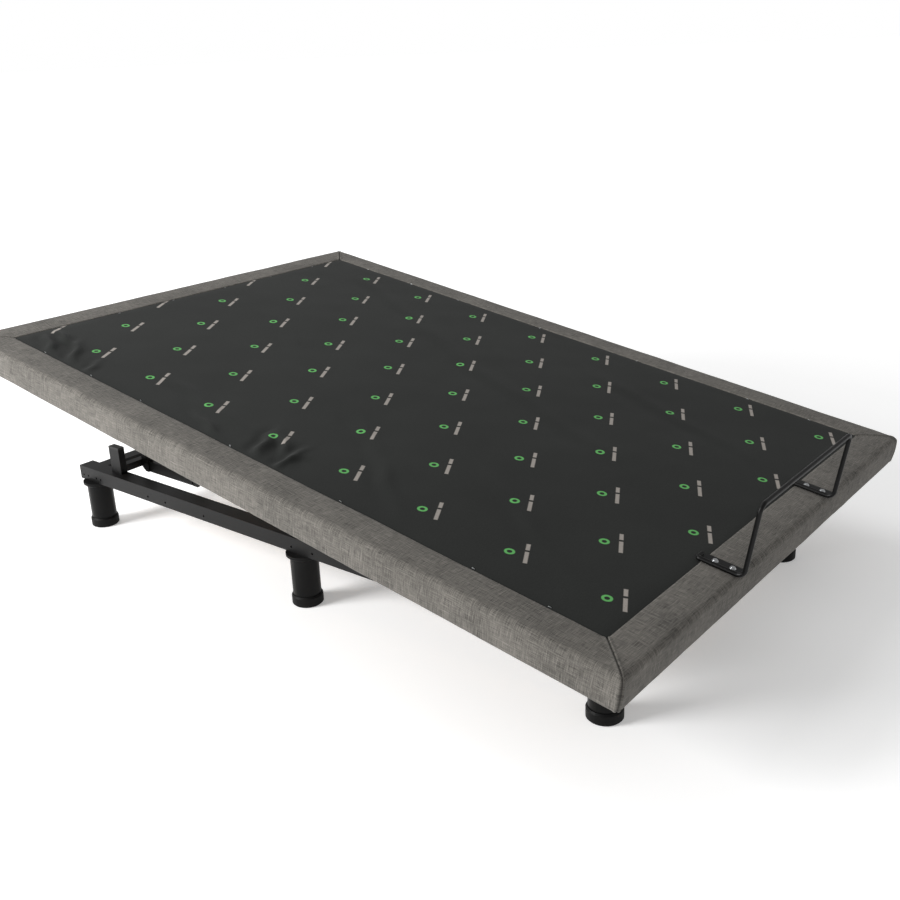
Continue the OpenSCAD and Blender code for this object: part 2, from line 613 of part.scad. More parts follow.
// the stay's pin as the calf panel sees it, at a share f of the thigh's travel
function stay_pin_in_calf(f) =
  let (a = stay_down_a - f * stay_sweep, p = [stay_s + stay_arm * cos(a), -stay_n + stay_arm * sin(a)],
       q = turned(p - [hip_s, -fold_n], f * thigh_max) + [hip_s, -fold_n])
  turned(q - [knee_s, -fold_n], -f * calf_max) + [knee_s, -fold_n];
module calf_stays() color(steel) deck() {
  translate([0, stay_s, -stay_n]) xrod(stay_r, -keel_x - 8, keel_x + 8);
  both() {
    slab(stay_x - 7, stay_x - 1) {
      translate([stay_s, -stay_n]) circle(r = 14, $fn = 32);
      translate([stay_pin_s, -stay_pin_n]) circle(r = stay_pin_r + 2, $fn = 32);
      polygon([[stay_s, -stay_n - 11], [stay_pin_s, -stay_pin_n - stay_pin_r - 1.5],
               [stay_pin_s, -stay_pin_n + stay_pin_r + 1.5], [stay_s, -stay_n + 11]]);
    }
    translate([0, stay_pin_s, -stay_pin_n]) xrod(stay_pin_r, stay_x - 20, stay_x - 1);
  }
}

// ---- retainer ------------------------------------------------------------
bar_r = bar_d / 2;
bend = 16;
rod_n = bar_r + 1;                      // the rod lies just over the padded edge
hook_s = 92;
plate_s = [10, 86];
plate_side = bar_r + 1;                 // the plate stands beside the rod
// a quarter bend in the plane of the first two axes, from +X round to +Y
module elbow() rotate_extrude(angle = 90, $fn = 48)
  translate([bend, 0]) circle(r = bar_r, $fn = 24);
module retainer_bar() color(steel) deck() {
  for (x = [bar_x, bar_x + bar_span]) {
    translate([x, bar_s + bend, rod_n]) rotate([-90, 0, 0])
      cylinder(r = bar_r, h = hook_s - bend - bar_s - 6, $fn = 24);
    translate([x, bar_s + bend, rod_n + bend]) rotate([0, 90, 180]) rotate([0, 0, -90])
      mirror([1, 0, 0]) elbow();
    translate([x, bar_s, rod_n + bend])
      cylinder(r = bar_r, h = bar_h - rod_n - 2 * bend, $fn = 24);
    // the rod's hook round the head end of its bracket
    translate([x + 6, hook_s - 6, rod_n]) intersection() {
      rotate([0, 0, 90]) rotate_extrude(angle = 90, $fn = 48)
        translate([6, 0]) circle(r = bar_r, $fn = 24);
      span([-20, -1, -20], [0.5, 20, 20]);
    }
    translate([x + 6 - e, hook_s, rod_n]) xrod(bar_r, 0, 16);
  }
  translate([bar_x + bend, bar_s, bar_h]) xrod(bar_r, 0, bar_span - 2 * bend);
  translate([bar_x + bend, bar_s, bar_h - bend]) rotate([90, 0, 0]) rotate([0, 0, 90]) elbow();
  translate([bar_x + bar_span - bend, bar_s, bar_h - bend]) rotate([90, 0, 0]) elbow();
}
plate_t = 3;
module retainer_brackets() color(steel) deck()
  for (x = [bar_x, bar_x + bar_span]) difference() {
    union() {
      span([x + plate_side, plate_s[0], 0], [x + plate_side + 28, plate_s[1], plate_t]);
      for (s = plate_s) translate([x + plate_side + 14, s, 0])
        cylinder(r = 14, h = plate_t, $fn = 48);
    }
    span([x, hook_s - bar_r - 1, -1], [x + 60, hook_s + 30, 20]);
    for (s = [24, 62]) translate([x + plate_side + 14, s, -1])
      cylinder(r = 3.5, h = 8, $fn = 32);
  }
module retainer_screws() color(zinc) deck()
  for (x = [bar_x, bar_x + bar_span], s = [24, 62])
    translate([x + plate_side + 14, s, plate_t]) {
      cylinder(r1 = 7, r2 = 5, h = 3, $fn = 32);
      translate([0, 0, -plate_t]) cylinder(r = 3.45, h = plate_t + e, $fn = 32);
    }

// ---- head and thigh lift ---------------------------------------------------
panel_arm_x = track_x - 24;
module head_axis() deck() translate([0, waist_s, -panel_tube_n]) children();
module thigh_axis() deck() translate([0, hip_s, -panel_tube_n]) rotate([0, 0, 180]) children();
module lift_tube(l, sweep, x) {
  xrod(panel_tube_r, -panel_arm_x - 8, panel_arm_x + 8);
  translate([x, 0, 0]) rotate([-180 - sweep / 2, 0, 0]) lever(sweep, 10);
}
// The arm's top edge stays under its axis near the tube, so the panel's end bar
// clears it when fully raised.
module panel_arms(l) both() difference() {
  union() {
    slab(panel_arm_x, panel_arm_x + 8) {
      circle(r = panel_tube_r + 3, $fn = 48);
      translate([l, 0]) circle(r = 11, $fn = 32);
      polygon([[0, -panel_tube_r - 3], [l, -11], [l, 11], [l * 0.3, 1], [0, 1]]);
    }
    translate([0, l, 0]) xrod(6, panel_arm_x, track_x + 13);
  }
  xrod(panel_tube_r, 0, panel_arm_x + 9);
}
module panel_rollers(l) both() translate([0, l, 0]) difference() {
  xrod(panel_roller_r, track_x - 12, track_x + 12);
  xrod(6 + run, track_x - 13, track_x + 13);
}
module head_torque_tube() color(steel) head_axis() lift_tube(head_arm, head_swing, head_x);
module thigh_torque_tube() color(steel) thigh_axis() lift_tube(thigh_arm, thigh_swing, -thigh_x);
module head_arms() color(steel) head_axis() panel_arms(head_arm);
module thigh_arms() color(steel) thigh_axis() panel_arms(thigh_arm);
module head_rollers() color(plastic) head_axis() panel_rollers(head_arm);
module thigh_rollers() color(plastic) thigh_axis() panel_rollers(thigh_arm);

side_rails();
rail_plugs();
cross_tubes();
upper_cross_tube();
rest_posts();
post_pads();
inner_posts();
inner_beams();
gusset_arms();
leg_tubes();
leg_collars();
foot_caps();
tilt_brackets();
tilt_pins();
tube_saddles();
tilt_motor_bracket();
control_box();
power_box();
tilt_torque_tube();
tilt_arms();
tilt_roller_pins();
tilt_rollers();
tilt_motor();
tilt_rod();
sub_frame();
tilt_lugs();
keel_plates();
deck_motor_brackets();
seat_frame();
seat_board();
seat_border();
seat_cover();
fold_pins();
head_frame();
head_board();
head_border();
head_cover();
thigh_frame();
thigh_board();
thigh_border();
thigh_cover();
calf_frame();
calf_board();
calf_border();
calf_cover();
knee_pins();
calf_stays();
retainer_bar();
retainer_brackets();
retainer_screws();
head_torque_tube();
head_arms();
head_rollers();
head_motor();
head_rod();
thigh_torque_tube();
thigh_arms();
thigh_rollers();
thigh_motor();
thigh_rod();
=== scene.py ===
"""Looks of the adjustable bed base: padded border, printed cover, staples, finishes and studio.

The frame gives every place. Deck points are written as (x, s, n): x across the bed,
s up the deck from its foot edge and n out of its top, all in metres.
"""

import json
import math

import bpy
from mathutils import Matrix, Vector, noise


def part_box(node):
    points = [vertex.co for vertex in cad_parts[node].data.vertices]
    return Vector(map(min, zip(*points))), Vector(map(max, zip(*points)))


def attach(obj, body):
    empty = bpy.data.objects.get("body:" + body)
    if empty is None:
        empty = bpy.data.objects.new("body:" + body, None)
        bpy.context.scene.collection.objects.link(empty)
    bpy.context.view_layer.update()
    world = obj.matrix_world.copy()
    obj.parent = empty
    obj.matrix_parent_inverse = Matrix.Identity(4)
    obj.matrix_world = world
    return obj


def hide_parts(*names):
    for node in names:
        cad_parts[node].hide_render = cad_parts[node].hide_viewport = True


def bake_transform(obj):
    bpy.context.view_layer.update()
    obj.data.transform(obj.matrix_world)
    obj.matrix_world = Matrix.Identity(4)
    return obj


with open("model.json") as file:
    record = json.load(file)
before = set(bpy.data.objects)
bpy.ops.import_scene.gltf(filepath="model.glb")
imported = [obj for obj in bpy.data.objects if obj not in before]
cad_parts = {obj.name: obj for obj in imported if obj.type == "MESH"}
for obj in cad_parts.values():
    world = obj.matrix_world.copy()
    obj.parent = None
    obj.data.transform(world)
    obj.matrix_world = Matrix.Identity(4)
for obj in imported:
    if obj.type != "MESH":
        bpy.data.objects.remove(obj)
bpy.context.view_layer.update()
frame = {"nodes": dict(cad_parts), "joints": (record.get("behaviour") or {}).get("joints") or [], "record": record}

# ---- places on the deck ------------------------------------------------------
JOINTS = {j["name"]: j for j in frame["joints"]}
DECK_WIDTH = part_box("head_border")[1][0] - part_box("head_border")[0][0]
HALF = DECK_WIDTH / 2
DECK_LENGTH = 2.0
CALF_LENGTH = 0.54        # foot edge to knee fold
FOLD_DEPTH = 0.022        # fold axes below the deck's top
BORDER = 0.084            # width of the padded border seen from above
EDGE_HEIGHT = 0.073       # height of the padded edge
COVER_HALF = HALF - BORDER

knee = Vector(JOINTS["calf_fold"]["pos_m"])
hip = Vector(JOINTS["thigh_raise"]["pos_m"])
waist = Vector(JOINTS["head_raise"]["pos_m"])
along = (waist - knee).normalized()
out = Vector((1, 0, 0)).cross(along)
foot_edge = knee - along * CALF_LENGTH + out * FOLD_DEPTH
HIP_S = CALF_LENGTH + (hip - knee).length
WAIST_S = CALF_LENGTH + (waist - knee).length
SEAT_S = (HIP_S + WAIST_S) / 2
THIGH_S = (CALF_LENGTH + HIP_S) / 2
RIDGE_REACH = 0.06        # the cloth turns this far to each side of the knee fold
VALLEY_REACH = 0.0135     # and this far at the hip and the waist, where boards end close by


def fold_reach(fold):
    """How far the cloth turns to each side of a fold."""
    return RIDGE_REACH if fold == CALF_LENGTH else VALLEY_REACH


def deck(x, s, n):
    """The place of the deck point (x, s, n)."""
    return foot_edge + Vector((x, 0, 0)) + along * s + out * n


# ---- small helpers -------------------------------------------------------------
SMOOTH_BELOW = math.radians(70)   # edges sharper than this stay sharp


def deselect():
    bpy.ops.object.select_all(action="DESELECT")


def mesh_piece(name, points, faces, uvs=None, weld=0.0, seams=None):
    """A mesh object from points and faces, with a UV map in metres when uvs are given
    and the closeness of a sewn seam at each point."""
    mesh = bpy.data.meshes.new(name)
    mesh.from_pydata([tuple(p) for p in points], [], faces)
    if seams is not None:
        mesh.attributes.new("seam", "FLOAT", "POINT").data.foreach_set("value", seams)
    if uvs is not None:
        layer = mesh.uv_layers.new(name="cloth")
        for loop in mesh.loops:
            layer.data[loop.index].uv = uvs[loop.vertex_index]
    piece = bpy.data.objects.new(name, mesh)
    bpy.context.collection.objects.link(piece)
    deselect()
    piece.select_set(True)
    bpy.context.view_layer.objects.active = piece
    bpy.ops.object.mode_set(mode="EDIT")
    bpy.ops.mesh.select_all(action="SELECT")
    if weld:
        bpy.ops.mesh.remove_doubles(threshold=weld)
    bpy.ops.mesh.normals_make_consistent(inside=False)
    bpy.ops.object.mode_set(mode="OBJECT")
    bpy.ops.object.shade_smooth_by_angle(angle=SMOOTH_BELOW)
    deselect()
    return piece


def linear(red, green, blue):
    """A colour given as it looks, 0 to 255, as the linear values a shader takes."""
    def one(v):
        v /= 255
        return v / 12.92 if v <= 0.04045 else ((v + 0.055) / 1.055) ** 2.4
    return (one(red), one(green), one(blue), 1)


# ---- shader building -------------------------------------------------------------
class Nodes:
    """Adds nodes to one tree in short lines and links what it is given."""

    def __init__(self, tree):
        self.tree = tree

    def add(self, kind, values=(), **settings):
        node = self.tree.nodes.new(kind)
        for key, value in settings.items():
            setattr(node, key, value)
        for key, value in dict(values).items():
            if isinstance(value, bpy.types.NodeSocket):
                self.tree.links.new(value, node.inputs[key])
            else:
                node.inputs[key].default_value = value
        return node

    def math(self, operation, a, b=0.0):
        return self.add("ShaderNodeMath", {0: a, 1: b}, operation=operation).outputs[0]

    def noise(self, vector, scale, detail=3.0, roughness=0.55):
        return self.add("ShaderNodeTexNoise", {"Vector": vector, "Scale": scale,
                        "Detail": detail, "Roughness": roughness}).outputs["Fac"]

    def scaled(self, vector, scale):
        return self.add("ShaderNodeMapping", {"Vector": vector, "Scale": scale}).outputs[0]

    def mix(self, factor, a, b):
        node = self.add("ShaderNodeMix", data_type="RGBA")
        for index, value in ((0, factor), (6, a), (7, b)):
            if isinstance(value, bpy.types.NodeSocket):
                self.tree.links.new(value, node.inputs[index])
            else:
                node.inputs[index].default_value = value
        return node.outputs[2]

    def span(self, value, low, high, to_low=0.0, to_high=1.0):
        return self.add("ShaderNodeMapRange", {"Value": value, "From Min": low,
                        "From Max": high, "To Min": to_low, "To Max": to_high}).outputs[0]

    def bump(self, height, distance, strength):
        return self.add("ShaderNodeBump", {"Height": height, "Distance": distance,
                        "Strength": strength}).outputs[0]


def group(name, inputs, outputs):
    """An empty node group with named sockets.
    Returns its tree, a Nodes on it, what comes in and where it goes out."""
    tree = bpy.data.node_groups.new(name, "ShaderNodeTree")
    for socket, kind, default in inputs:
        made = tree.interface.new_socket(socket, in_out="INPUT", socket_type=kind)
        if default is not None:
            made.default_value = default
    for socket, kind in outputs:
        tree.interface.new_socket(socket, in_out="OUTPUT", socket_type=kind)
    start = tree.nodes.new("NodeGroupInput")
    end = tree.nodes.new("NodeGroupOutput")
    return tree, Nodes(tree), start.outputs, end.inputs


def material(name, **shader):
    """A Principled material. Constants go straight on the shader's sockets."""
    made = bpy.data.materials.new(name)
    made.use_nodes = True
    build = Nodes(made.node_tree)
    bsdf = made.node_tree.nodes["Principled BSDF"]
    for key, value in shader.items():
        bsdf.inputs[key.replace("_", " ")].default_value = value
    return made, build, bsdf.inputs


def feed(build, socket, value):
    build.tree.links.new(value, socket)


FLOAT, COLOR, VECTOR = "NodeSocketFloat", "NodeSocketColor", "NodeSocketVector"


# stretches of the noise that draws threads and slubs, in cycles to the metre of cloth
WARP, WEFT = (36, 880, 1), (880, 36, 1)
WARP_SLUBS, WEFT_SLUBS = (10, 420, 1), (420, 10, 1)
SLUB_SPAN = (0.56, 0.72)  # noise between these grows into a slub
DUST_COLOUR = (0.32, 0.31, 0.3, 1)


def make_weave_group():
    """Two crossing sets of uneven threads, with slubs, on a cloth map in metres."""
    tree, n, i, o = group("linen_weave",
        [("Cloth", VECTOR, None), ("Light", COLOR, (0.3, 0.3, 0.3, 1)),
         ("Dark", COLOR, (0.1, 0.1, 0.1, 1)), ("Slub", FLOAT, 0.5)],
        [("Color", COLOR), ("Height", FLOAT)])
    warp = n.noise(n.scaled(i["Cloth"], WARP), 1.0, 4)
    weft = n.noise(n.scaled(i["Cloth"], WEFT), 1.0, 4)
    warp_slub = n.noise(n.scaled(i["Cloth"], WARP_SLUBS), 1.0, 2)
    weft_slub = n.noise(n.scaled(i["Cloth"], WEFT_SLUBS), 1.0, 2)
    threads = n.math("ADD", n.math("MULTIPLY", warp, 0.5), n.math("MULTIPLY", weft, 0.5))
    slubs = n.math("MAXIMUM", n.span(warp_slub, *SLUB_SPAN), n.span(weft_slub, *SLUB_SPAN))
    shade = n.span(threads, 0.36, 0.66)
    shade = n.math("SUBTRACT", shade, n.math("MULTIPLY", slubs, i["Slub"]))
    patches = n.noise(i["Cloth"], 9.0, 3)
    shade = n.math("ADD", shade, n.span(patches, 0.3, 0.7, -0.12, 0.12))
    clamp = n.add("ShaderNodeClamp", {0: shade}).outputs[0]
    n.tree.links.new(n.mix(clamp, i["Dark"], i["Light"]), o["Color"])
    n.tree.links.new(n.math("ADD", threads, n.math("MULTIPLY", slubs, 0.3)), o["Height"])
    return tree


def make_coat_group():
    """Fine orange peel and dust of a powder coat or a moulded skin."""
    tree, n, i, o = group("fine_skin",
        [("Place", VECTOR, None), ("Base", COLOR, (0.03, 0.03, 0.03, 1)),
         ("Grain", FLOAT, 350.0), ("Roughness", FLOAT, 0.45), ("Dust", FLOAT, 0.1)],
        [("Color", COLOR), ("Roughness", FLOAT), ("Height", FLOAT)])
    fine = n.noise(i["Place"], i["Grain"], 2)
    broad = n.noise(i["Place"], 6.0, 4)
    dust = n.math("MULTIPLY", n.span(broad, 0.45, 0.75), i["Dust"])
    n.tree.links.new(n.mix(dust, i["Base"], DUST_COLOUR), o["Color"])
    rough = n.math("ADD", i["Roughness"], n.span(broad, 0.3, 0.7, -0.05, 0.06))
    n.tree.links.new(n.math("ADD", rough, n.span(fine, 0.3, 0.7, -0.03, 0.03)), o["Roughness"])
    n.tree.links.new(fine, o["Height"])
    return tree


MARK_PITCH_X = 0.173      # between columns of marks
MARK_PITCH_S = 0.223      # between marks in a column
MARK_FIRST = (-0.510, 0.148)
MARK_SLANT = 29           # the bars run this many degrees from across the bed
MARK_BARS = (0.0175, -0.029)   # their middle, from the ring's centre
BAR_RUNS = ((-0.014, 0.022), (0.027, 0.012))   # each bar's centre and half length
BAR_HALF_WIDTH = 0.0042
RING_RIM = (0.0118, 0.0102)    # outer edge of the ring, from bare cloth to full colour
RING_HOLE = (0.0048, 0.0062)   # and the edge of its hole
PRINT_EDGE = 0.0008       # softness of a bar's edge


def make_marks_group():
    """A staggered field of small printed marks, a ring with two short slanted bars beside it."""
    tree, n, i, o = group("printed_marks", [("Cloth", VECTOR, None)],
                          [("Leaf", FLOAT), ("Bar", FLOAT)])
    split = n.add("ShaderNodeSeparateXYZ", {0: i["Cloth"]}).outputs
    x = n.math("SUBTRACT", split[0], MARK_FIRST[0])
    column = n.math("ROUND", n.math("DIVIDE", x, MARK_PITCH_X))
    x = n.math("SUBTRACT", x, n.math("MULTIPLY", column, MARK_PITCH_X))
    odd = n.math("PINGPONG", column, 1.0)
    s = n.math("SUBTRACT", split[1], MARK_FIRST[1])
    s = n.math("SUBTRACT", s, n.math("MULTIPLY", odd, MARK_PITCH_S / 2))
    row = n.math("ROUND", n.math("DIVIDE", s, MARK_PITCH_S))
    s = n.math("SUBTRACT", s, n.math("MULTIPLY", row, MARK_PITCH_S))

    turn = math.radians(MARK_SLANT)
    dx, ds = n.math("SUBTRACT", x, MARK_BARS[0]), n.math("SUBTRACT", s, MARK_BARS[1])
    run = n.math("ADD", n.math("MULTIPLY", dx, math.cos(turn)),
                 n.math("MULTIPLY", ds, math.sin(turn)))
    side = n.math("SUBTRACT", n.math("MULTIPLY", ds, math.cos(turn)),
                  n.math("MULTIPLY", dx, math.sin(turn)))

    def bar(centre, half_length):
        over = n.math("SUBTRACT", n.math("ABSOLUTE", n.math("SUBTRACT", run, centre)), half_length)
        wide = n.math("SUBTRACT", n.math("ABSOLUTE", side), BAR_HALF_WIDTH)
        return n.span(n.math("MAXIMUM", over, wide), PRINT_EDGE, -PRINT_EDGE)

    ring = n.math("SQRT", n.math("ADD", n.math("POWER", x, 2.0), n.math("POWER", s, 2.0)))
    disc = n.span(ring, *RING_RIM)
    hole = n.span(ring, *RING_HOLE)
    n.tree.links.new(n.math("MULTIPLY", disc, hole), o["Leaf"])
    bars = n.math("MAXIMUM", *(bar(centre, half_length) for centre, half_length in BAR_RUNS))
    n.tree.links.new(bars, o["Bar"])
    return tree


WEAVE, SKIN, MARKS = make_weave_group(), make_coat_group(), make_marks_group()


def cloth_map(build):
    return build.add("ShaderNodeUVMap", uv_map="cloth").outputs[0]


def place_map(build):
    return build.add("ShaderNodeTexCoord").outputs["Object"]


def border_fabric():
    made, n, bsdf = material("border linen", Roughness=0.9, Sheen_Weight=0.06,
                             Sheen_Roughness=0.5, Specular_IOR_Level=0.2)
    cloth = n.add("ShaderNodeGroup", node_tree=WEAVE)
    feed(n, cloth.inputs["Cloth"], cloth_map(n))
    cloth.inputs["Light"].default_value = linear(124, 120, 114)
    cloth.inputs["Dark"].default_value = linear(50, 49, 46)
    cloth.inputs["Slub"].default_value = -0.28
    # painted shade: the linen is darkened toward near-black where the cloth dips into a sewn seam
    seam = n.add("ShaderNodeAttribute", attribute_name="seam").outputs["Fac"]
    cloth_with_painted_seam_shade = n.mix(n.math("MULTIPLY", seam, 0.55), cloth.outputs["Color"], linear(30, 29, 28))
    feed(n, bsdf["Base Color"], cloth_with_painted_seam_shade)
    feed(n, bsdf["Normal"], n.bump(cloth.outputs["Height"], 0.0012, 0.7))
    return made


def cover_fabric():
    made, n, bsdf = material("printed cover", Roughness=0.85, Sheen_Weight=0.05,
                             Sheen_Roughness=0.4, Specular_IOR_Level=0.16)
    marks = n.add("ShaderNodeGroup", node_tree=MARKS)
    feed(n, marks.inputs["Cloth"], cloth_map(n))
    fibres = n.noise(n.scaled(cloth_map(n), (260, 260, 1)), 1.0, 5, 0.7)
    cloudy = n.noise(cloth_map(n), 3.0, 4)
    shade = n.math("ADD", n.math("MULTIPLY", fibres, 0.6), n.math("MULTIPLY", cloudy, 0.4))
    ground = n.mix(n.span(shade, 0.3, 0.7), linear(27, 28, 27), linear(38, 40, 38))
    worn = n.span(fibres, 0.25, 0.5, 0.75, 1.0)
    ground = n.mix(n.math("MULTIPLY", marks.outputs["Bar"], worn), ground, linear(150, 144, 138))
    ground = n.mix(n.math("MULTIPLY", marks.outputs["Leaf"], worn), ground, linear(92, 168, 92))
    feed(n, bsdf["Base Color"], ground)
    dimples = n.add("ShaderNodeTexVoronoi", {"Vector": cloth_map(n), "Scale": 420.0})
    soft = n.math("ADD", n.math("MULTIPLY", dimples.outputs["Distance"], 0.4), fibres)
    feed(n, bsdf["Normal"], n.bump(soft, 0.0006, 0.5))
    return made


def skin_material(name, base, grain, rough, dust, bump, **shader):
    made, n, bsdf = material(name, **shader)
    skin = n.add("ShaderNodeGroup", node_tree=SKIN)
    feed(n, skin.inputs["Place"], place_map(n))
    for key, value in (("Base", base), ("Grain", grain), ("Roughness", rough), ("Dust", dust)):
        skin.inputs[key].default_value = value
    feed(n, bsdf["Base Color"], skin.outputs["Color"])
    feed(n, bsdf["Roughness"], skin.outputs["Roughness"])
    feed(n, bsdf["Normal"], n.bump(skin.outputs["Height"], bump, 0.5))
    return made


def plywood():
    made, n, bsdf = material("birch ply", Specular_IOR_Level=0.3)
    place = place_map(n)
    grain = n.noise(n.scaled(place, (2.5, 110, 110)), 1.0, 6, 0.6)
    rings = n.add("ShaderNodeTexWave", {"Vector": n.scaled(place, (2, 14, 90)), "Scale": 1.0,
                  "Distortion": 6.0, "Detail": 3.0}).outputs["Fac"]
    shade = n.math("ADD", n.math("MULTIPLY", grain, 0.88), n.math("MULTIPLY", rings, 0.12))
    feed(n, bsdf["Base Color"], n.mix(shade, linear(158, 124, 88), linear(204, 172, 130)))
    feed(n, bsdf["Roughness"], n.span(grain, 0.3, 0.7, 0.55, 0.75))
    feed(n, bsdf["Normal"], n.bump(grain, 0.0006, 0.4))
    return made


FINISHES = {
    "black_steel": skin_material("black powder coat", linear(7, 7, 7), 420.0, 0.42, 0.012,
                                 0.0002, Specular_IOR_Level=0.2),
    "leg_black": skin_material("leg enamel", linear(5, 5, 5), 380.0, 0.38, 0.012, 0.0002,
                               Specular_IOR_Level=0.14),
    "black_plastic": skin_material("moulded black", linear(7, 7, 7), 700.0, 0.55, 0.02, 0.0003,
                                   Specular_IOR_Level=0.14),
    "bright_steel": skin_material("zinc plate", linear(176, 178, 180), 160.0, 0.32, 0.05, 0.0001,
                                  Metallic=1.0),
    "roller": skin_material("grey nylon", linear(92, 93, 95), 500.0, 0.5, 0.1, 0.0002),
    "rubber_pad": skin_material("pad rubber", linear(34, 34, 34), 600.0, 0.8, 0.12, 0.0004),
    "board": plywood(),
    "border_fabric": border_fabric(),
    "cover_fabric": cover_fabric(),
}


def finish_cad_nodes():
    """Every carried-over CAD node takes the finish of its slot in the record."""
    for part in frame["record"]["subparts"]:
        node = frame["nodes"][part["node"]]
        node.data.materials.clear()
        node.data.materials.append(FINISHES[part["material_slot"]])


def dress(piece, slot):
    piece.data.materials.clear()
    piece.data.materials.append(FINISHES[slot])
    return piece


# ---- padded border ---------------------------------------------------------------
CORNER = 0.007            # rounding of the border's corners in plan
TOP_ROLL = 0.015          # rounding along the top edge
LOW_ROLL = 0.007          # rounding along the bottom edge
INNER_ROLL = 0.004        # rounding where the top turns down beside the cover
BULGE = 0.0016            # how far the foam pushes the side out
CROWN = 0.0012            # and the top up
TUCK = 0.045              # how far the cloth wraps in underneath
TOP_STEPS, SIDE_STEPS = 14, 7
SMALL_ARC, TOP_ARC = 4, 8      # steps round the small rolls and the top one


def arc(centre, radius, start, stop, count):
    """Points round an arc, angles in degrees, each with the way it faces."""
    for k in range(count + 1):
        a = math.radians(start + (stop - start) * k / count)
        yield (centre[0] + radius * math.cos(a), centre[1] + radius * math.sin(a),
               math.cos(a), math.sin(a))


def border_profile():
    """Points (d, n, out_d, out_n) round the border's section. d is measured inward from the
    deck's outer edge, and out_d and out_n say which way the surface faces."""
    ring = []
    inner = BORDER
    ring += [(inner - 0.003, -0.045, 1, 0), (inner, -0.03, 1, 0), (inner, -0.012, 1, 0)]
    ring += [(inner - INNER_ROLL + c, n, a, b) for c, n, a, b in
             arc((0, -INNER_ROLL), INNER_ROLL, 0, 90, SMALL_ARC)]
    for k in range(1, TOP_STEPS):
        t = k / TOP_STEPS
        d = inner - INNER_ROLL + (TOP_ROLL - inner + INNER_ROLL) * t
        ring.append((d, CROWN * math.sin(math.pi * t), 0, 1))
    ring += list(arc((TOP_ROLL, -TOP_ROLL), TOP_ROLL, 90, 180, TOP_ARC))
    for k in range(1, SIDE_STEPS):
        t = k / SIDE_STEPS
        n = -TOP_ROLL - (EDGE_HEIGHT - TOP_ROLL - LOW_ROLL) * t
        ring.append((-BULGE * math.sin(math.pi * t), n, -1, 0))
    ring += list(arc((LOW_ROLL, -EDGE_HEIGHT + LOW_ROLL), LOW_ROLL, 180, 270, SMALL_ARC))
    ring += [(0.025, -EDGE_HEIGHT, 0, -1), (TUCK, -EDGE_HEIGHT, 0, -1),
             (TUCK + 0.003, -0.060, 1, 0)]
    return ring


# each as height, distance from the seam and width
SEAM_WAVES = ((-0.0018, 0.0, 0.0016), (0.0011, 0.005, 0.0028), (-0.0005, 0.0105, 0.0018))
FOAM_WAVES = ((0.0008, 7), (0.0004, 23), (0.0002, 60))   # height, cycles to the metre


def seam_lift(distance):
    """The cloth dips into a sewn seam and stands up a little beside it."""
    return sum(height * math.exp(-((distance - centre) / width) ** 2)
               for height, centre, width in SEAM_WAVES)


def uneven(point, waves):
    """Slow unevenness of cloth over what lies beneath it."""
    return sum(height * noise.noise(point * pace) for height, pace in waves)


PLAIN_STEP, FOLD_STEP, VALLEY_STEP = 0.016, 0.005, 0.0018
BY_FOLD, AT_VALLEY = 0.02, 0.004   # how near a turning stretch the closer steps begin


def stations(start, stop, folds):
    """Steps along the deck, close together near a fold."""
    s, steps = start, [start]
    while s < stop - 1e-6:
        gap = min((abs(s - fold) - fold_reach(fold) for fold in folds), default=1.0)
        tight = gap < AT_VALLEY and any(fold_reach(fold) == VALLEY_REACH for fold in folds)
        s = min(stop, s + (VALLEY_STEP if tight else FOLD_STEP if gap < BY_FOLD else PLAIN_STEP))
        steps.append(s)
    return steps


PROFILE = border_profile()
PROFILE_LENGTH = [0.0]
for before, after in zip(PROFILE, PROFILE[1:]):
    PROFILE_LENGTH.append(PROFILE_LENGTH[-1] + math.dist(before[:2], after[:2]))
DEPTHS = [point[0] for point in PROFILE]
MITRE_ZONE = 0.2          # sections slant toward the mitre this far from a corner
MITRE_RUNS = (0.0, 0.0012, 0.003, 0.006, 0.010, 0.016, 0.026, 0.04, 0.06, 0.085, 0.12, 0.16, 0.2)
CORNER_DEGREES = (9, 18, 27, 36, 42, 45, 48, 54, 63, 72, 81)
FAR_FROM_SEAM = 1.0
END_SHIFT = 10            # keeps the end strip's cloth map clear of the sides'


def inset(d):
    """How far in from an end the mitre lies at depth d."""
    return max(d, CORNER)


def slant(d, u):
    """How far from the mitre a section u along the zone lies at depth d."""
    return u * (MITRE_ZONE - inset(d)) / MITRE_ZONE


def corner_turn(d):
    """The way round half of the corner at depth d."""
    return max(CORNER - d, 0) * math.pi / 4


def end_ring(sections, sign, end_s, step):
    """One corner: sections of the border up to the mitre and round the corner. Each
    section holds (x, s, outward in plan, seam distance, cloth u) for every profile point."""
    for u in reversed(MITRE_RUNS):
        row = []
        for d in DEPTHS:
            s = end_s - step * (inset(d) + slant(d, u))
            gap = abs(end_s - step * inset(d) - s) + corner_turn(d)
            row.append((sign * (HALF - d), s, (sign, 0), gap, s))
        sections.append(row)
    for degrees in CORNER_DEGREES:
        a = math.radians(degrees)
        facing = (sign * math.cos(a), step * math.sin(a))
        row = []
        for d in DEPTHS:
            r = max(CORNER - d, 0)
            cx, cs = sign * (HALF - inset(d)), end_s - step * inset(d)
            row.append((cx + facing[0] * r, cs + facing[1] * r, facing,
                        abs(math.radians(45) - a) * r, cs))
        sections.append(row)


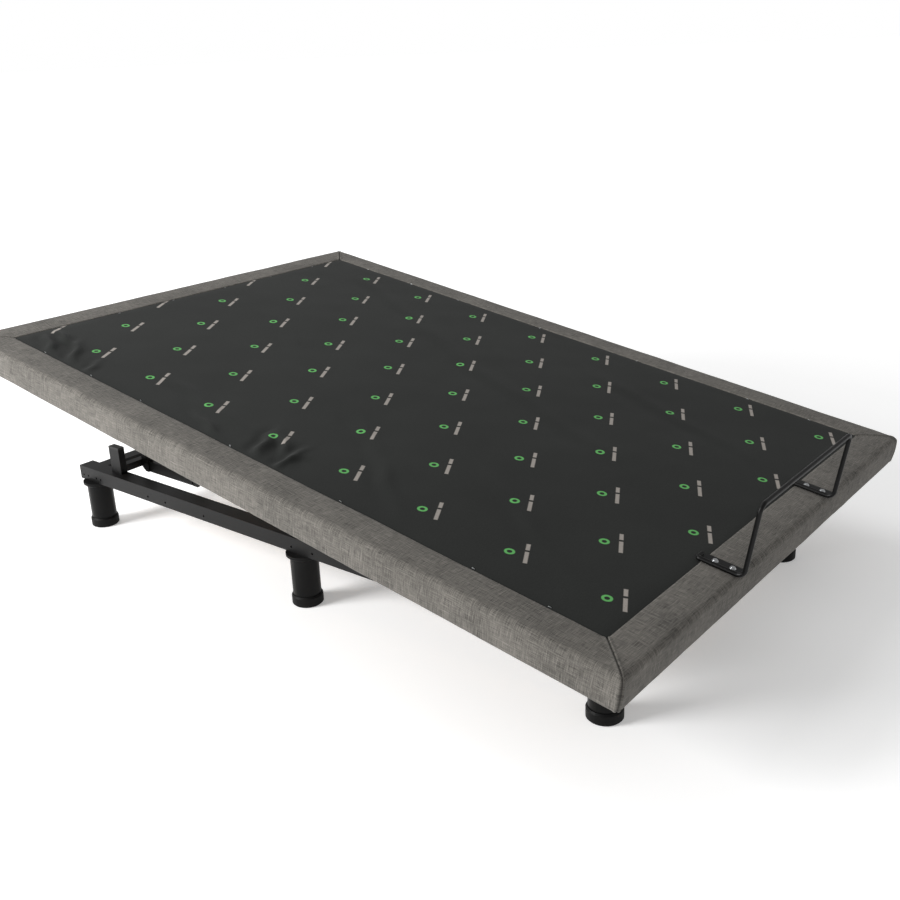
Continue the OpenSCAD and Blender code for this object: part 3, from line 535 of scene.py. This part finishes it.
def across(sections, end_s, step):
    """The end strip from one corner's mitre to the other's."""
    reach = HALF - MITRE_ZONE
    rows = [("near", u) for u in MITRE_RUNS]
    count = int(2 * reach / PLAIN_STEP)
    rows += [("mid", -reach + 2 * reach * k / count) for k in range(1, count)]
    rows += [("far", u) for u in reversed(MITRE_RUNS)]
    for kind, u in rows:
        row = []
        for d in DEPTHS:
            if kind == "mid":
                x = u
            else:
                edge = HALF - inset(d) - slant(d, u)
                x = -edge if kind == "near" else edge
            gap = HALF - inset(d) - abs(x) + corner_turn(d)
            row.append((x, end_s - step * d, (0, step), gap, x + END_SHIFT))
        sections.append(row)


def strip(sign, steps):
    """Plain sections along one side."""
    return [[(sign * (HALF - d), s, (sign, 0), FAR_FROM_SEAM, s) for d in DEPTHS]
            for s in steps]


SEAM_SHADE = 0.0022       # width of the painted shade darkening the cloth in each seam's dip
WELD = 0.00005


def border_mesh(name, sections):
    """Skins a run of sections and closes its two ends."""
    points, uvs, faces, seams = [], [], [], []
    ring = len(PROFILE)
    for row in sections:
        for (x, s, facing, gap, u), (d, n, out_d, out_n), v in zip(row, PROFILE, PROFILE_LENGTH):
            lift = seam_lift(gap) + uneven(Vector((x, s, n)), FOAM_WAVES)
            in_plan = -out_d * lift
            points.append(deck(x + facing[0] * in_plan, s + facing[1] * in_plan,
                               n + out_n * lift))
            uvs.append((u, v))
            # weight of the painted seam shade at this point, highest in the seam's dip
            seams.append(math.exp(-(gap / SEAM_SHADE) ** 2))
    for k in range(len(sections) - 1):
        for j in range(ring):
            a, b = k * ring + j, k * ring + (j + 1) % ring
            faces.append((a, b, b + ring, a + ring))
    faces.append(tuple(range(ring - 1, -1, -1)))
    faces.append(tuple(range((len(sections) - 1) * ring, len(sections) * ring)))
    piece = mesh_piece(name, points, faces, uvs, weld=WELD, seams=seams)
    return dress(piece, "border_fabric")


def end_border(name, split_s, end_s, fold):
    """The U-shaped border round one end, from split_s to end_s and back."""
    step = 1 if end_s > split_s else -1
    zone = end_s - step * MITRE_ZONE
    steps = stations(min(split_s, zone), max(split_s, zone), (fold,))
    if step < 0:
        steps.reverse()
    sections = strip(-1, steps[:-1])
    end_ring(sections, -1, end_s, step)
    across(sections, end_s, step)
    mirrored = []
    end_ring(mirrored, 1, end_s, step)
    sections += mirrored[::-1] + strip(1, steps[:-1])[::-1]
    return border_mesh(name, sections)


TACK_PITCH = 0.19         # the cover is tacked down beside the border
TACK_IN = 0.004
TACK_WIRE, TACK_HALF = 0.0005, 0.0035   # radius and half length of a staple's wire
TACK_RISE, TACK_DIG, TACK_BEND = 0.0010, 0.0012, 0.0006
TACKS_FROM_END, TACKS_FROM_FOLD = 0.12, 0.07
HEAD_TACKS = (-0.48, -0.29, -0.1, 0.1, 0.29, 0.48)


def tack_row(name, rows):
    """Small staples lying across the cover's edge, each a bent wire."""
    bent = ((-TACK_HALF, -TACK_DIG), (-TACK_HALF + TACK_BEND, TACK_RISE),
            (TACK_HALF - TACK_BEND, TACK_RISE), (TACK_HALF, -TACK_DIG))
    curve = bpy.data.curves.new(name, "CURVE")
    curve.dimensions, curve.bevel_depth, curve.bevel_resolution = "3D", TACK_WIRE, 2
    for x, s, turn in rows:
        a = math.radians(turn)
        way = (math.cos(a), math.sin(a))
        base = cover_height(x, s)
        spline = curve.splines.new("POLY")
        spline.points.add(3)
        for point, (run, up) in zip(spline.points, bent):
            point.co = (*deck(x + way[0] * run, s + way[1] * run, base + up), 1)
    tacks = bpy.data.objects.new(name, curve)
    bpy.context.scene.collection.objects.link(tacks)
    deselect()
    tacks.select_set(True)
    bpy.context.view_layer.objects.active = tacks
    bpy.ops.object.convert(target="MESH")
    deselect()
    return dress(bpy.context.view_layer.objects.active, "bright_steel")


head_rim = end_border("head_border_cloth", SEAT_S, DECK_LENGTH, WAIST_S)
foot_rim = end_border("foot_border_cloth", THIGH_S, 0.0, CALF_LENGTH)
side_rims = [border_mesh(name, strip(sign, stations(THIGH_S, SEAT_S, (HIP_S,))))
             for name, sign in (("near_border_cloth", -1), ("far_border_cloth", 1))]


# ---- printed cover -----------------------------------------------------------------
COVER_SAG = 0.0008        # how far the cover lies below the border's top
COVER_EDGE = 0.0012       # how far the cloth drops beside the border
COVER_TUCK = 0.0015       # how far it runs in under the border
COVER_LOWEST = -0.0028    # it lies on the boards here
EDGE_FALL = 0.006         # the drop fades over this distance
SLACK_REACH = 0.03        # creases grow to full height this far in
COVER_WAVES = ((0.0016, 3.1), (0.0007, 11))
GRID = 0.0075             # spacing of the cover's mesh


def ridge(x, s, centre, heading, length, width, height):
    """One soft crease: a long low ridge with a shallow dip on one side."""
    a = math.radians(heading)
    dx, ds = x - centre[0], s - centre[1]
    run = dx * math.cos(a) + ds * math.sin(a)
    side = -dx * math.sin(a) + ds * math.cos(a)
    bend = side + 0.25 * width * math.sin(run / length * 5)
    fade = math.exp(-(run / length) ** 2)
    return height * fade * (math.exp(-(bend / width) ** 2)
                            - 0.6 * math.exp(-((bend - 1.6 * width) / width) ** 2))


CREASES = (
    # centre (x, s), heading, half length, half width, height
    ((-0.585, 1.80), 62, 0.075, 0.013, 0.0085),
    ((-0.560, 1.73), 48, 0.070, 0.011, 0.0075),
    ((-0.520, 1.84), 78, 0.065, 0.012, 0.0060),
    ((-0.590, 1.62), 30, 0.050, 0.010, 0.0045),
    ((-0.560, 1.02), 28, 0.060, 0.012, 0.0085),
    ((-0.575, 0.93), 12, 0.060, 0.011, 0.0075),
    ((-0.530, 0.98), 55, 0.070, 0.013, 0.0060),
    ((-0.590, 1.16), 70, 0.080, 0.012, 0.0050),
    ((-0.500, 1.30), 80, 0.160, 0.020, 0.0032),
    ((-0.460, 0.74), 52, 0.130, 0.018, 0.0032),
    ((-0.300, 0.95), 62, 0.220, 0.024, 0.0022),
    ((-0.380, 0.42), 58, 0.200, 0.020, 0.0022),
    ((0.10, 0.70), 70, 0.280, 0.026, 0.0018),
    ((0.24, 1.10), 66, 0.300, 0.028, 0.0018),
    ((-0.05, 1.45), 60, 0.260, 0.024, 0.0020),
    ((0.36, 0.52), 74, 0.240, 0.024, 0.0017),
    ((0.44, 1.52), 68, 0.240, 0.024, 0.0018),
)


def cover_height(x, s):
    """How high the cover lies at a deck point, creases and all."""
    edge = min(COVER_HALF - abs(x), s - BORDER, DECK_LENGTH - BORDER - s)
    drop = COVER_EDGE * math.exp(-max(edge, 0) / EDGE_FALL)
    slack = min(1.0, max(edge, 0) / SLACK_REACH)
    folds = sum(ridge(x, s, *crease) for crease in CREASES)
    waves = uneven(Vector((x, s, 0)), COVER_WAVES)
    return max(COVER_LOWEST, -COVER_SAG - drop + slack * (folds + waves))


def cover_mesh(name, start, stop, folds):
    """A cover sheet from start to stop, with closer rows beside its fold."""
    rows = stations(start, stop, folds)
    fine = []
    for a, b in zip(rows, rows[1:]):
        parts = max(1, round((b - a) / GRID))
        fine += [a + (b - a) * k / parts for k in range(parts)]
    fine.append(stop)
    count = round(2 * COVER_HALF / GRID)
    reach = COVER_HALF + COVER_TUCK
    xs = [-reach + 2 * reach * k / count for k in range(count + 1)]
    points = [deck(x, s, cover_height(x, s)) for s in fine for x in xs]
    uvs = [(x, s) for s in fine for x in xs]
    wide = len(xs)
    faces = [(r * wide + c, r * wide + c + 1, (r + 1) * wide + c + 1, (r + 1) * wide + c)
             for r in range(len(fine) - 1) for c in range(wide - 1)]
    piece = mesh_piece(name, points, faces, uvs)
    return dress(piece, "cover_fabric")


COVER_ENDS = (BORDER - COVER_TUCK, THIGH_S, SEAT_S, DECK_LENGTH - BORDER + COVER_TUCK)
foot_sheet = cover_mesh("foot_cover_cloth", COVER_ENDS[0], COVER_ENDS[1], (CALF_LENGTH,))
mid_sheet = cover_mesh("seat_cover_cloth", COVER_ENDS[1], COVER_ENDS[2], (HIP_S,))
head_sheet = cover_mesh("head_cover_cloth", COVER_ENDS[2], COVER_ENDS[3], (WAIST_S,))


def across_fold(piece):
    """Bakes a piece's placing into its own mesh."""
    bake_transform(piece)


for name, body, low, high in (
        ("calf_tacks", "calf_panel", TACKS_FROM_END, CALF_LENGTH - TACKS_FROM_FOLD),
        ("thigh_tacks", "thigh_panel", CALF_LENGTH + TACKS_FROM_FOLD, HIP_S - TACKS_FROM_FOLD),
        ("seat_tacks", "tilt_deck", HIP_S + TACKS_FROM_FOLD, WAIST_S - TACKS_FROM_FOLD),
        ("head_tacks", "head_panel", WAIST_S + TACKS_FROM_FOLD, DECK_LENGTH - TACKS_FROM_END)):
    count = max(1, round((high - low) / TACK_PITCH))
    spots = [low + (high - low) * (k + 0.5) / count for k in range(count)]
    rows = [(sign * (COVER_HALF - TACK_IN), s, 82 + 9 * math.sin(40 * s + sign))
            for s in spots for sign in (-1, 1)]
    if name == "head_tacks":
        rows += [(x, DECK_LENGTH - BORDER - TACK_IN, 5) for x in HEAD_TACKS]
    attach(tack_row(name, rows), body)

for piece in (head_rim, head_sheet):
    across_fold(piece)
for piece in (*side_rims, mid_sheet):
    across_fold(piece)
for piece in (foot_rim, foot_sheet):
    across_fold(piece)

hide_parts("head_border")
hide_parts("seat_border")
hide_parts("thigh_border")
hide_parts("calf_border")
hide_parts("head_cover")
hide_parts("seat_cover", "thigh_cover")
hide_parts("calf_cover")

finish_cad_nodes()

# ---- studio --------------------------------------------------------------------------
scene = bpy.context.scene
CAMERA_PLACE = foot_edge + Vector((-2.0485, -0.7586, 0.9839))
CAMERA_AZIMUTH, CAMERA_ELEVATION, CAMERA_ROLL = map(math.radians, (-50.58, 20.423, -2.362))
LENS, SENSOR = 43.14, 36
FLOOR_SIZE = 400
FLOOR_GLOW = (2.0, 6.0, 0.3, 0.85)   # where it starts and stops rising, and both strengths
SKY_LIGHT, SKY_SEEN = 0.42, 1.0      # the sky's strength as a light and as a background


def place_camera():
    data = bpy.data.cameras.new("camera")
    data.sensor_width, data.lens = SENSOR, LENS
    camera = bpy.data.objects.new("camera", data)
    scene.collection.objects.link(camera)
    back = Vector((math.sin(CAMERA_AZIMUTH) * math.cos(CAMERA_ELEVATION),
                   -math.cos(CAMERA_AZIMUTH) * math.cos(CAMERA_ELEVATION),
                   math.sin(CAMERA_ELEVATION)))
    turn = back.to_track_quat("Z", "Y").to_matrix() @ Matrix.Rotation(CAMERA_ROLL, 3, "Z")
    camera.matrix_world = Matrix.Translation(CAMERA_PLACE) @ turn.to_4x4()
    scene.camera = camera


def place_floor():
    deselect()
    bpy.ops.mesh.primitive_plane_add(size=FLOOR_SIZE, location=(0, 0, 0))
    floor = bpy.context.object
    floor.name = "studio_floor"
    made, n, bsdf = material("studio floor", Roughness=0.9, Specular_IOR_Level=0.1)
    bsdf["Base Color"].default_value = (0.95, 0.95, 0.95, 1)
    bsdf["Emission Color"].default_value = (1, 1, 1, 1)
    away = n.add("ShaderNodeVectorMath", {0: place_map(n)}, operation="LENGTH").outputs["Value"]
    feed(n, bsdf["Emission Strength"], n.span(away, *FLOOR_GLOW))
    floor.data.materials.append(made)
    deselect()


def soft_light(name, place, target, size, power):
    data = bpy.data.lights.new(name, "AREA")
    data.shape, data.size, data.energy = "DISK", size, power
    light = bpy.data.objects.new(name, data)
    scene.collection.objects.link(light)
    light.location = place
    light.rotation_euler = (Vector(place) - Vector(target)).to_track_quat("Z", "Y").to_euler()


def place_lights():
    world = bpy.data.worlds.new("studio")
    world.use_nodes = True
    tree = world.node_tree
    sky = tree.nodes["Background"]
    sky.inputs["Color"].default_value = (1, 1, 1, 1)
    seen = tree.nodes.new("ShaderNodeLightPath").outputs["Is Camera Ray"]
    power = tree.nodes.new("ShaderNodeMapRange")
    tree.links.new(seen, power.inputs["Value"])
    power.inputs["To Min"].default_value = SKY_LIGHT
    power.inputs["To Max"].default_value = SKY_SEEN
    tree.links.new(power.outputs["Result"], sky.inputs["Strength"])
    scene.world = world
    soft_light("key", (-4.2, 2.6, 2.4), (0, 0.3, 0.3), 2.4, 330)
    soft_light("top", (0.0, 2.5, 4.5), (0, 0, 0.3), 3.0, 60)
    scene.view_settings.view_transform = "Standard"


place_camera()
place_floor()
place_lights()
